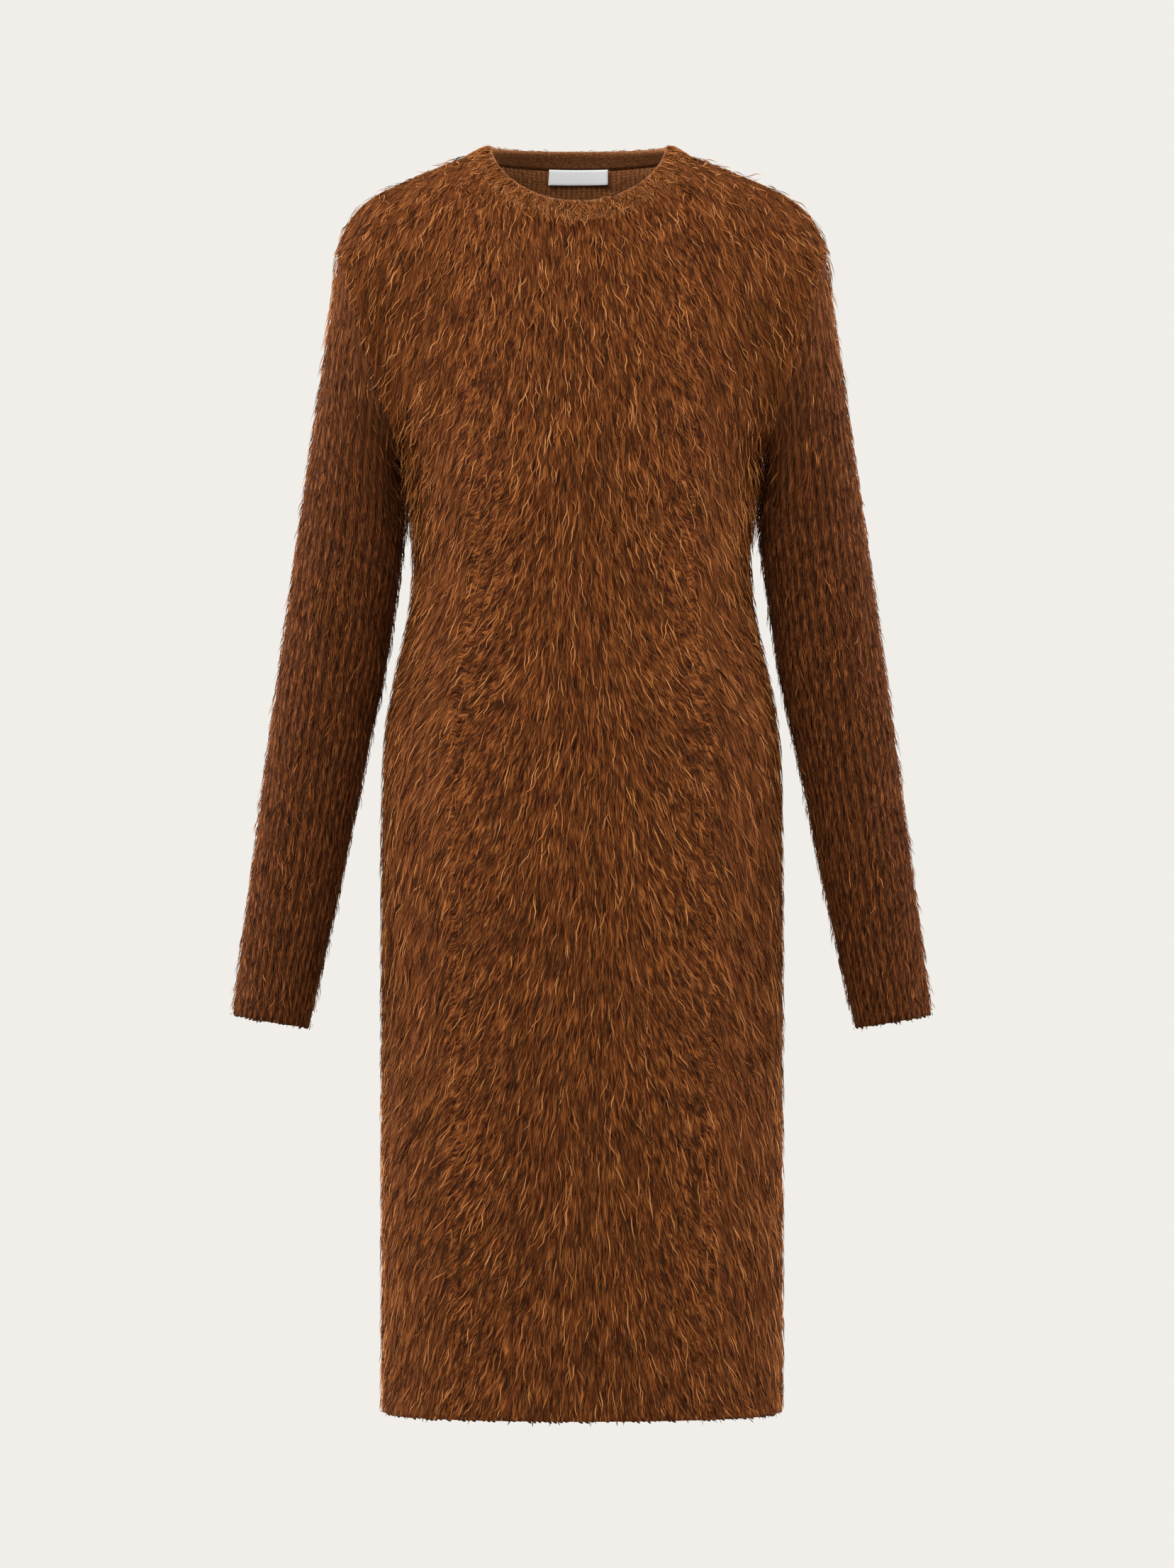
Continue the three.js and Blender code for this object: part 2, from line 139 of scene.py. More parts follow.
class Finish:
    """A material under construction."""

    def __init__(self, name, **constants):
        self.material = bpy.data.materials.new(name)
        self.material.use_nodes = True
        self.tree = self.material.node_tree
        self.shader = self.tree.nodes["Principled BSDF"]
        for socket, value in constants.items():
            self.shader.inputs[socket.replace("_", " ")].default_value = value

    def node(self, kind, settings=None, inputs=None, output=0):
        made = self.tree.nodes.new(kind)
        for name, value in (settings or {}).items():
            if name == "stops":
                ramp = made.color_ramp.elements
                while len(ramp) < len(value):
                    ramp.new(1)
                for stop, (place, colour) in zip(ramp, value):
                    stop.position, stop.color = place, (*colour, 1)
            else:
                setattr(made, name, value)
        for name, value in (inputs or {}).items():
            self.feed(made.inputs[name], value)
        return Value(self, made.outputs[output])

    def feed(self, socket, value):
        if isinstance(value, Value):
            self.tree.links.new(value.socket, socket)
        else:
            socket.default_value = value

    def shade(self, socket, value):
        self.feed(self.shader.inputs[socket], value)

    def number(self, attribute):
        return self.node("ShaderNodeAttribute", {"attribute_name": attribute}, output="Fac")

    def laid_out(self, uv_map):
        """The two coordinates of a cloth, across and down it, in millimetres."""
        place = self.node("ShaderNodeUVMap", {"uv_map": uv_map})
        apart = self.node("ShaderNodeSeparateXYZ", {}, {0: place}).socket.node
        return Value(self, apart.outputs[0]), Value(self, apart.outputs[1])

    def noise(self, x, y, z=0.0, detail=1.0, roughness=0.5):
        place = self.node("ShaderNodeCombineXYZ", {}, {0: x, 1: y, 2: z})
        return self.noise_at(place, 1.0, detail, roughness)

    def noise_at(self, place, scale, detail, roughness):
        sockets = {"Vector": place, "Scale": scale, "Detail": detail, "Roughness": roughness}
        return self.node("ShaderNodeTexNoise", {}, sockets)

    def ramp(self, value, stops):
        return self.node("ShaderNodeValToRGB", {"stops": stops}, {"Fac": value})

    def bump(self, height, strength, distance):
        sockets = {"Strength": strength, "Distance": distance, "Height": height}
        self.shade("Normal", self.node("ShaderNodeBump", {}, sockets))


def shade_of(red, green, blue):
    """A picture's colour, 0 to 255, as the light it stands for."""
    parts = (red / 255, green / 255, blue / 255)
    return tuple(c / 12.92 if c <= 0.04045 else ((c + 0.055) / 1.055) ** 2.4 for c in parts)


def set_floor():
    """A round pale floor, well below the hem of the hanging dress."""
    shape = bmesh.new()
    bmesh.ops.create_circle(shape, cap_ends=True, segments=96, radius=1.4)
    bmesh.ops.translate(shape, verts=shape.verts, vec=(0, 0, -1.36))
    mesh = bpy.data.meshes.new("floor")
    shape.to_mesh(mesh)
    shape.free()
    mesh.materials.append(Finish("pale_floor", Base_Color=(0.4, 0.389, 0.373, 1), Roughness=0.9).material)
    floor = bpy.data.objects.new("floor", mesh)
    bpy.context.scene.collection.objects.link(floor)


# The garment's form
OVAL_POWER = 2.3
BODY_RINGS = (  # height, half width, depth in front, depth behind
    (-240, 153, 112, 98),
    (-262, 150, 113, 96.5),
    (-288, 145.5, 111, 93.5),
    (-318, 142.5, 106, 90.5),
    (-352, 144, 101.5, 90.5),
    (-388, 150, 100.5, 95),
    (-428, 159, 103, 103),
    (-474, 166.5, 106, 111),
    (-540, 169, 107, 115),
    (-640, 169.5, 105, 112),
    (-760, 169.5, 101, 104),
    (-900, 169.5, 96, 97),
    (-1045, 169.5, 92, 92),
)
SHOULDER_LINE = (  # out from the middle, height
    (90, 19.5),
    (110, 12.5),
    (132, 3.5),
    (155, -6),
    (174, -15.5),
    (186, -24),
    (195, -34),
    (202, -47),
    (207, -62),
)
NECK_SHIFT = -3
NECK_SEAM = dict(half_width=90, front=79, back=72, side_z=19.5, front_z=-43.5, back_z=13, dip=1.3)
BAND_TOP = dict(half_width=73, front=66, back=58, side_z=24.5, front_z=-26, back_z=27, dip=1.2)
ARMHOLE_PULL = 4
SLEEVE_RINGS = (  # outer edge, its height, inner edge, its height, half depth, middle towards the back
    (207, -62, 153, -240, 57, 0),
    (211, -90, 153.6, -243.5, 59.5, 3),
    (215.5, -122, 153.2, -248, 60, 6),
    (221, -160, 151.8, -255, 59.5, 8),
    (227.5, -202, 150.4, -266, 57.5, 10),
    (234, -246, 148.8, -283, 55, 11),
    (241, -292, 149.4, -308, 52, 12),
    (248.5, -346, 155, -357, 49, 12),
    (256.5, -400, 163.5, -413, 46.5, 11),
    (264.5, -458, 176, -473, 43.5, 9),
    (273, -522, 189.5, -538, 41, 7),
    (281.5, -588, 203, -603, 38, 5),
    (290, -650, 216.5, -664, 35.5, 3),
    (297.5, -708, 229, -720, 34, 1),
)
SLEEVE_RIBS = 36
BAND_WALL, BAND_RIBS = 4, 364
LABEL_WIDTH, LABEL_HEIGHT = 48, 13.5
BODY_KNIT_DEPTH, SLEEVE_KNIT_DEPTH = 3.9, 2.7  # under the surface that the fur reaches
SHOULDER_COLUMNS, NECK_COLUMNS, NECK_SHARE = 8, 18, 0.45
ARMHOLE_ROWS = SLEEVE_RIBS // 2
EVENED_ROWS, EVENING_ROUNDS = ARMHOLE_ROWS + 3, 14
FRONT_FOLDS = (  # across, height, tilt from level, reach along, reach across, depth
    (-116, -222, 55, 70, 22, 3),
    (120, -214, -50, 62, 24, 2.6),
    (-92, -338, 8, 52, 26, 2),
    (98, -362, -12, 44, 24, 1.7),
    (-74, -905, 86, 190, 38, 2.4),
    (66, -860, 93, 230, 42, 2),
)
BACK_FOLDS = (
    (-112, -226, 48, 66, 24, 2.8),
    (108, -232, -54, 74, 22, 3),
    (10, -330, 3, 70, 30, 3.2),
    (-30, -372, -6, 56, 24, 2),
    (82, -880, 88, 210, 40, 2.6),
    (-58, -930, 94, 170, 36, 2.2),
)
LEFT_SLEEVE_FOLDS = (  # angle round from the outer edge, distance down, then as above
    (250, -250, 12, 44, 22, 2.6),
    (225, -310, -8, 38, 20, 2.2),
    (120, -285, 10, 46, 24, 2.6),
    (200, -150, 20, 40, 26, 2.4),
    (290, -470, -14, 40, 22, 1.6),
)
RIGHT_SLEEVE_FOLDS = (
    (240, -236, 12, 46, 20, 2.8),
    (262, -318, -12, 40, 24, 2.2),
    (128, -270, 12, 44, 22, 2.8),
    (60, -400, -8, 40, 26, 2),
    (206, -170, 18, 38, 24, 2.2),
)


def squared(value):
    return np.sign(value) * np.abs(value) ** (2 / OVAL_POWER)


def blended(a, b, share):
    return a + (b - a) * share


def eased(value, low, high):
    t = np.clip((value - low) / (high - low), 0, 1)
    return t * t * (3 - 2 * t)


def lengths(vectors):
    return np.sqrt((vectors**2).sum(-1, keepdims=True))


def unit(vectors):
    return vectors / np.maximum(lengths(vectors), 1e-9)


def dot(a, b):
    return (a * b).sum(-1, keepdims=True)


def neck_oval(oval, angle):
    forward = np.sin(angle) < 0
    swing = np.abs(np.sin(angle))
    low = np.where(forward, oval["front_z"], oval["back_z"])
    return np.stack(
        (
            NECK_SHIFT + oval["half_width"] * np.cos(angle),
            np.where(forward, -oval["front"], oval["back"]) * swing,
            oval["side_z"] + (low - oval["side_z"]) * swing ** oval["dip"],
        ),
        -1,
    )


def top_edge(across, side):
    neck = neck_oval(NECK_SEAM, side * math.pi * (1 - across / NECK_SHARE) / 2)
    line = np.array(SHOULDER_LINE, float)
    walked = np.concatenate(([0], np.cumsum(np.hypot(*np.diff(line, axis=0).T))))
    share = np.clip((np.abs(across) - NECK_SHARE) / (1 - NECK_SHARE), 0, 1)
    x, z = (np.interp(share * walked[-1], walked, line[:, k]) for k in (0, 1))
    shoulder = np.stack((np.sign(across) * x + NECK_SHIFT * (1 - share), 0 * x, z), -1)
    return np.where((np.abs(across) <= NECK_SHARE + 1e-9)[:, None], neck, shoulder)


def body_ring(ring, across, side):
    height, half_width, front, back = ring
    angle = across * math.pi / 2
    depth = side * (front if side < 0 else back)
    x, y = half_width * squared(np.sin(angle)), depth * squared(np.cos(angle))
    return np.stack((x, y, height + 0 * angle), -1)


def yoke_row(down, across, side):
    """Points of a panel above the underarm: down is 0 along the top edge and 1 at the underarm."""
    power, at_neck, at_shoulder = (1.8, 0.8, 0.5) if side < 0 else (2.3, 0.6, 0.5)
    rise = (1 + squared(np.cos(math.pi * down))) / 2
    squareness = blended(at_neck, at_shoulder, eased(np.abs(across), 0, NECK_SHARE))
    start, top = body_ring(BODY_RINGS[0], across, side), top_edge(across, side)
    points = blended(start, top, rise)
    kept = max(1 - rise**power, 0) ** squareness
    points[:, 1] = blended(top[:, 1], start[:, 1], kept)
    armhole_depth = SLEEVE_RINGS[0][4] * squared(np.sin(math.pi * down))
    points[:, 1] += side * armhole_depth * np.abs(across) ** ARMHOLE_PULL
    return points


def evened(grid):
    """Rounds off the yoke: points inside the edges move towards the middle of their neighbours."""
    for _ in range(EVENING_ROUNDS):
        middle = (grid[1:-1, :-2] + grid[1:-1, 2:] + grid[:-2, 1:-1] + grid[2:, 1:-1]) / 4
        grid[1:EVENED_ROWS, 1:-1] = blended(grid[1:EVENED_ROWS, 1:-1], middle[: EVENED_ROWS - 1], 0.5)
    return grid


def panel_form(side):
    to_shoulder = np.arange(1, SHOULDER_COLUMNS + 1) / SHOULDER_COLUMNS * (1 - NECK_SHARE) + NECK_SHARE
    over_neck = np.linspace(-NECK_SHARE, NECK_SHARE, NECK_COLUMNS + 1)
    across = np.concatenate((-to_shoulder[::-1], over_neck, to_shoulder))
    yoke = [yoke_row(row / ARMHOLE_ROWS, across, side) for row in range(ARMHOLE_ROWS)]
    return evened(np.array(yoke + [body_ring(ring, across, side) for ring in BODY_RINGS]))


def sleeve_form():
    angle = (np.arange(2 * SLEEVE_RIBS) / SLEEVE_RIBS + 1) * math.pi
    rows = []
    for outer_x, outer_z, inner_x, inner_z, half_depth, centre_y in SLEEVE_RINGS:
        outer, inner = np.array((outer_x, centre_y, outer_z)), np.array((inner_x, centre_y, inner_z))
        reach = (outer - inner) / 2 * squared(np.cos(angle))[:, None]
        depth = np.array((0, half_depth, 0)) * squared(np.sin(angle))[:, None]
        rows.append((outer + inner) / 2 + reach + depth)
    return np.array(rows)


def refined(grid, times, closed=False):
    """The same smooth surface with more rows."""
    ends = (grid[-1:], grid[:2]) if closed else (2 * grid[:1] - grid[1:2], 2 * grid[-1:] - grid[-2:-1])
    padded = np.concatenate((ends[0], grid, ends[1]))
    made = []
    for i in range(len(padded) - 3):
        a, b, c, d = padded[i : i + 4]
        bend, twist = 2 * a - 5 * b + 4 * c - d, 3 * b - a - 3 * c + d
        for t in np.arange(times) / times:
            made.append((2 * b + (c - a) * t + bend * t**2 + twist * t**3) / 2)
    return np.array(made if closed else made + [grid[-1]])


def respaced(grid, step):
    """The same surface with its rows about a step apart."""
    fine = refined(grid, 8)
    apart = np.linalg.norm(np.diff(fine, axis=0), axis=-1).mean(1)
    walked = np.concatenate(([0], np.cumsum(apart)))
    stops = np.linspace(0, walked[-1], round(walked[-1] / step) + 1)
    wanted = np.interp(stops, walked, np.arange(len(fine)))
    low = np.minimum(wanted.astype(int), len(fine) - 2)
    share = (wanted - low)[:, None, None]
    return blended(fine[low], fine[low + 1], share)


def fold_depth(folds, x, y):
    depth = 0 * x
    for across, height, tilt, along, wide, deep in folds:
        turn = math.radians(tilt)
        right, up = x - across, y - height
        a = (right * math.cos(turn) + up * math.sin(turn)) / along
        b = (up * math.cos(turn) - right * math.sin(turn)) / wide
        depth += deep * np.exp(-a * a - b * b)
    return depth


def patches(x, y, size, seed):
    """Smooth random patches about so wide, from -1 to 1."""
    lattice = np.random.default_rng(seed).uniform(-1, 1, (97, 97))
    i, j = np.floor(x / size).astype(int), np.floor(y / size).astype(int)
    u, v = x / size - i, y / size - j
    u, v = u * u * (3 - 2 * u), v * v * (3 - 2 * v)
    near = blended(lattice[i % 97, j % 97], lattice[(i + 1) % 97, j % 97], u)
    far = blended(lattice[i % 97, (j + 1) % 97], lattice[(i + 1) % 97, (j + 1) % 97], u)
    return blended(near, far, v)


def neck_seam_facing(angle):
    swing = np.abs(np.sin(angle))
    return unit(np.stack((0.32 * np.cos(angle), 0.8 * np.sin(angle), 0.95 - 0.47 * swing), -1))


def neckband_form(columns):
    """The outside of the folded strip: from the seam up over the fold and down inside, all round."""
    angle = np.arange(columns) / columns * 2 * math.pi
    seam, top = neck_oval(NECK_SEAM, angle), neck_oval(BAND_TOP, angle)
    along = neck_oval(NECK_SEAM, angle + 1e-3) - neck_oval(NECK_SEAM, angle - 1e-3)
    up = unit(top - seam)
    out = unit(np.cross(along, up))
    bottom = seam + 0.5 * up
    inner_bottom = bottom - BAND_WALL * neck_seam_facing(angle)
    outer_top = top + out * BAND_WALL / 2 - up * 2
    inner_top = outer_top - out * BAND_WALL
    outer_middle = blended(bottom, outer_top, 0.5) + out * 0.8
    inner_middle = blended(inner_bottom, inner_top, 0.5) + out * 0.4
    return np.array((bottom, outer_middle, outer_top, top, inner_top, inner_middle, inner_bottom))


def label_form(columns, rows):
    """A strip folded across its middle, hanging from the band's seam: nearer half, fold, farther half."""
    lean = math.radians(12)
    fall = np.array((0, math.sin(lean), -math.cos(lean)))
    away = np.array((0, -math.cos(lean), -math.sin(lean)))
    share = np.linspace(0, 1, columns)
    x = LABEL_WIDTH * (share - 0.5)
    angle = np.arccos(x / (NECK_SEAM["half_width"] - 6))
    edge = neck_oval(NECK_SEAM, angle) - 6 * neck_seam_facing(angle) + away * 2.7 - fall * 2.6
    bow = 0.25 * np.sin(math.pi * 2.2 * share + 0.6)[:, None] * away
    nearer = [edge + fall * LABEL_HEIGHT * t + bow * t for t in np.linspace(0, 0.96, rows)]
    farther = []
    for t in np.linspace(0.97, 0.03, rows):
        slid = np.array((-0.9 * t, 0, 0)) - fall * 0.012 * x[:, None] * t
        farther.append(edge + fall * LABEL_HEIGHT * t + slid - away * (0.9 - 0.1 * t) + bow * t)
    fold = (nearer[-1] + farther[0]) / 2 + fall * 0.45
    return np.array([*nearer, fold, *farther])


def underarm_share(x, height):
    """1 where the sleeve's inside brushes against the body's side, fading to 0 around there."""
    return np.exp(-(((height + 248) / 40) ** 2) - ((np.abs(x) - 150) / 15) ** 2)


class Cloth:
    """A smooth surface in rows and columns, and what a comb or a needle meets at any place on it."""

    def __init__(self, points, turn=1, closed=False):
        self.points, self.turn, self.closed = points, turn, closed
        by_row = np.gradient(points, axis=0)
        by_column = np.gradient(points, axis=1)
        if closed:
            by_column = (np.roll(points, -1, 1) - np.roll(points, 1, 1)) / 2
        facing = turn * unit(np.cross(by_row, by_column))
        stretch = lengths(by_column)[..., 0]
        across = np.cumsum(stretch, 1)
        middle = points.shape[1] // 2
        across = across - across[:, middle : middle + 1]
        down = np.cumsum(lengths(by_row)[..., 0], 0)
        distances = np.stack((across, down), -1)
        self.layers = np.concatenate((points, facing, by_row, by_column, distances), -1)

    def layout(self):
        """Distance across and distance down, with a closed cloth's first column repeated at its end."""
        across, down = self.layers[..., 12], self.layers[..., 13]
        if self.closed:
            across = np.concatenate((across, across[:, -1:] + self.step_across()), 1)
            down = np.concatenate((down, down[:, :1]), 1)
        return across, down

    def step_across(self):
        return lengths(self.points[:, :1] - self.points[:, -1:])[..., 0]

    def pressed(self, depth):
        moved = self.points - self.layers[..., 3:6] * depth[..., None]
        return Cloth(moved, self.turn, self.closed)

    def at(self, row, column):
        """Place, facing, step of a row, step of a column, distance across and distance down, there."""
        rows, columns = self.points.shape[:2]
        r, c = np.clip(np.floor(row), 0, rows - 2).astype(int), np.floor(column).astype(int)
        if not self.closed:
            c = np.clip(c, 0, columns - 2)
        u, v = (row - r)[:, None], (column - c)[:, None]
        c, next_c = c % columns, (c + 1) % columns
        upper = blended(self.layers[r, c], self.layers[r, next_c], v)
        lower = blended(self.layers[r + 1, c], self.layers[r + 1, next_c], v)
        found = blended(upper, lower, u)
        point, facing, by_row, by_column = found[:, :3], unit(found[:, 3:6]), found[:, 6:9], found[:, 9:12]
        return point, facing, by_row, by_column, found[:, 12], found[:, 13]

    def scattered(self, count, draw):
        """Places from the top row down: evenly, but closer under the arm and on the shoulder."""
        cells = self.layers[:-1] if self.closed else self.layers[:-1, :-1]
        size = lengths(np.cross(cells[..., 6:9], cells[..., 9:12]))[..., 0]
        closer = 2 * underarm_share(cells[..., 0], cells[..., 2]) + 0.7 * np.clip(cells[..., 5], 0, 1)
        size = size * (1 + closer)
        filled = np.cumsum(size.ravel()) / size.sum()
        wanted = (np.arange(count) + draw.random(count)) / count
        cell = np.searchsorted(filled, wanted).clip(0, size.size - 1)
        return cell // size.shape[1] + draw.random(count), cell % size.shape[1] + draw.random(count)


SEAM_DEPTH = 0.35


def knit_depth(cloth, row, column, full, at_sides=0):
    """How far the knit lies under the fur's surface: hardly at all along the seams."""
    at_top = 14
    if cloth.closed:
        at_top = at_top + 70 * ((1 + np.cos(2 * math.pi * column / cloth.points.shape[1])) / 2) ** 3
    row_step = cloth.layers[:, :, 13].max() / (len(cloth.points) - 1)
    depth = eased(row * row_step, 0, at_top)
    if at_sides:
        column_step = np.ptp(cloth.layers[..., 12], axis=1).mean() / (cloth.points.shape[1] - 1)
        to_side = np.minimum(column, cloth.points.shape[1] - 1 - column) * column_step
        depth = depth * eased(to_side, 0, at_sides)
    return blended(SEAM_DEPTH, full, depth)


def body_cloth(side, folds):
    form = np.swapaxes(refined(np.swapaxes(panel_form(side), 0, 1), 2), 0, 1)
    cloth = Cloth(respaced(form, 9), turn=-side)
    rows, columns = cloth.points.shape[:2]
    row, column = np.mgrid[:rows, :columns]
    fade = np.clip(row / 6, 0, 1) * np.clip(column / 6, 0, 1) * np.clip((columns - 1 - column) / 6, 0, 1)
    return cloth.pressed(fade * fold_depth(folds, cloth.points[..., 0], cloth.points[..., 2]))


def sleeve_cloth(side, folds):
    cloth = Cloth(respaced(sleeve_form(), 9), closed=True)
    rows, columns = cloth.points.shape[:2]
    row, column = np.mgrid[:rows, :columns]
    folds = [(math.radians((angle + 180) % 360) * 50, *rest) for angle, *rest in folds]
    fade = np.clip(row / 8, 0, 1) * np.clip((rows - 1 - row) / 8, 0, 1)
    depth = fade * fold_depth(folds, column / columns * 2 * math.pi * 50, -cloth.layers[..., 13])
    pressed = cloth.pressed(depth).points * (side, 1, 1)
    return Cloth(pressed, turn=side, closed=True)


# Cloth made into pieces
def link(name, mesh, materials, smooth=True):
    for material in materials:
        mesh.materials.append(material)
    if smooth:
        mesh.shade_smooth()
    piece = bpy.data.objects.new(name, mesh)
    bpy.context.scene.collection.objects.link(piece)
    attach(piece, "root")
    return piece


def woven(name, points, facing, maps, materials, thickness, closed=False, numbers=None):
    """A piece of cloth laid on a grid of points in millimetres, with its wall behind it."""
    rows, columns = points.shape[:2]
    across = columns if closed else columns - 1
    shape = bmesh.new()
    layers = [shape.loops.layers.uv.new(title) for title in maps]
    bmesh.ops.create_grid(shape, x_segments=across, y_segments=rows - 1, size=0.5)
    amounts = [shape.verts.layers.float.new(title) for title in (numbers or {})]
    spots = {}
    for vertex in shape.verts:
        column, row = round((vertex.co.x + 0.5) * across), round((0.5 - vertex.co.y) * (rows - 1))
        spots[vertex] = row, column
        vertex.co = points[row, column % columns] * MM
        for layer, amount in zip(amounts, (numbers or {}).values()):
            vertex[layer] = amount[row, column % columns]
    for face in shape.faces:
        for loop in face.loops:
            for layer, place in zip(layers, maps.values()):
                loop[layer].uv = place[spots[loop.vert]]
    shape.normal_update()
    shape.faces.ensure_lookup_table()
    first = shape.faces[len(shape.faces) // 2]
    row, column = spots[first.verts[0]]
    if first.normal.dot(facing[row, column % columns]) < 0:
        bmesh.ops.reverse_faces(shape, faces=shape.faces)
    if closed:
        bmesh.ops.remove_doubles(shape, verts=shape.verts, dist=1e-6)
    mesh = bpy.data.meshes.new(name)
    shape.to_mesh(mesh)
    shape.free()
    piece = link(name, mesh, materials)
    wall = piece.modifiers.new("wall", "SOLIDIFY")
    wall.thickness = thickness * MM
    wall.offset = -1
    wall.material_offset = wall.material_offset_rim = len(materials) - 1
    return piece


BAND_LENGTH = 44  # the lean of the brushed streaks is worked out afresh this often down the cloth
COMB_HEIGHTS = (-1045, -900, -560, -420, -330, -180, -60, 20)
COMB_STRENGTHS = (0.62, 0.85, 0.9, 1.22, 1.2, 0.85, 0.55, 0.3)


def comb_body(across, height, seed, drift=11):
    """How far the hair leans outwards from straight down, in degrees, on the front or back."""
    outward = 30 * np.tanh(across / 105)
    by_height = np.interp(height, COMB_HEIGHTS, COMB_STRENGTHS)
    return outward * by_height + drift * patches(across, height, 74, seed)


def streak_maps(cloth, lean):
    """Two overlapping layouts that run along the comb's lean, and how much the first one counts."""
    across, down = cloth.layers[..., 12], cloth.layers[..., 13]
    slope = np.tan(np.radians(lean))
    maps = {}
    for title, offset in (("brushed_a", 0), ("brushed_b", 1)):
        band = 2 * np.round((down / BAND_LENGTH - offset) / 2) + offset
        past = down - band * BAND_LENGTH
        maps[title] = np.stack((across - past * slope + 37 * band, down), -1)
    phase = (down / BAND_LENGTH) % 2
    return maps, eased(np.abs(1 - phase), 0, 1)


# Hair
def lock_shape(sections):
    """A three-sided spindle, closed to a point at both ends: sections, places round it, triangles."""
    shape = bmesh.new()
    bmesh.ops.create_cone(shape, segments=3, radius1=1, radius2=1, depth=1)
    upright = [e for e in shape.edges if abs(e.verts[0].co.z - e.verts[1].co.z) > 0.5]
    bmesh.ops.subdivide_edges(shape, edges=upright, cuts=sections - 1)
    for end in (-0.5, 0.5):
        tip = [v for v in shape.verts if abs(v.co.z - end) < 1e-4]
        bmesh.ops.pointmerge(shape, verts=tip, merge_co=(0, 0, end))
    bmesh.ops.triangulate(shape, faces=shape.faces)
    bmesh.ops.recalc_face_normals(shape, faces=shape.faces)
    shape.verts.index_update()
    corners = np.array([v.co for v in shape.verts])
    triangles = np.array([[v.index for v in f.verts] for f in shape.faces])
    shape.free()
    return np.round((corners[:, 2] + 0.5) * sections).astype(int), corners[:, :2], triangles


def grown(cloth, places, comb, sections, length, width, rise, wave, down_rows=False):
    """Locks that follow the cloth from their roots: one row of corner points for each lock, in millimetres.

    They hang down, or where down_rows is set they run along the cloth's rows, before they are combed aside.
    """
    row, column = places
    phase, pitch = wave["phase"], wave["pitch"]
    section, round_it, _ = lock_shape(sections)
    centres, sides, facings = [], [], []
    for step in range(sections + 1):
        point, facing, by_row, by_column, across, down = cloth.at(row, column)
        fall = unit(by_row) if down_rows else unit(facing * facing[:, 2:3] - (0, 0, 1))
        out = unit(by_column - fall * dot(by_column, fall) - facing * dot(by_column, facing))
        lean = np.radians(comb(point, across, down))[:, None]
        heading = fall * np.cos(lean) + out * np.sin(lean)
        share = step / sections
        bend = wave["size"] * (0.35 + 0.65 * share) * np.sin(2 * math.pi * share * length / pitch + phase)
        side = unit(np.cross(facing, heading))
        height = blended(rise["root"], rise["tip"], share**0.7) + rise["bow"] * math.sin(math.pi * share)
        centres.append(point + side * bend[:, None] + facing * height[:, None])
        sides.append(side)
        facings.append(facing)
        rr, rc, cc = dot(by_row, by_row), dot(by_row, by_column), dot(by_column, by_column)
        stride = heading * (length / sections)[:, None]
        r, c = dot(stride, by_row), dot(stride, by_column)
        room = np.maximum(rr * cc - rc * rc, 1e-6)
        row = row + ((r * cc - c * rc) / room)[:, 0]
        column = column + ((c * rr - r * rc) / room)[:, 0]
    centres, sides, facings = (np.stack(a, 1)[:, section] for a in (centres, sides, facings))
    taper = np.sin(math.pi * np.clip(np.arange(sections + 1) / sections, 0.0, 1) ** 0.75)[section]
    half = (width / 2)[:, None, None] * taper[None, :, None]
    return centres + half * (sides * round_it[None, :, :1] + 0.6 * facings * round_it[None, :, 1:])


def hair(name, corners, sections, tone, material):
    """Locks joined into one piece, with each one's tone and the way along it."""
    section, _, triangles = lock_shape(sections)
    count, each = corners.shape[:2]
    faces = (triangles[None] + each * np.arange(count)[:, None, None]).reshape(-1, 3)
    mesh = bpy.data.meshes.new(name)
    mesh.from_pydata((corners.reshape(-1, 3) * MM).tolist(), [], faces.tolist())
    for title, values in (("tone", np.repeat(tone, each)), ("along", np.tile(section / sections, count))):
        attribute = mesh.attributes.new(title, "FLOAT", "POINT")
        attribute.data.foreach_set("value", values.astype(np.float32))
    return link(name, mesh, [material])


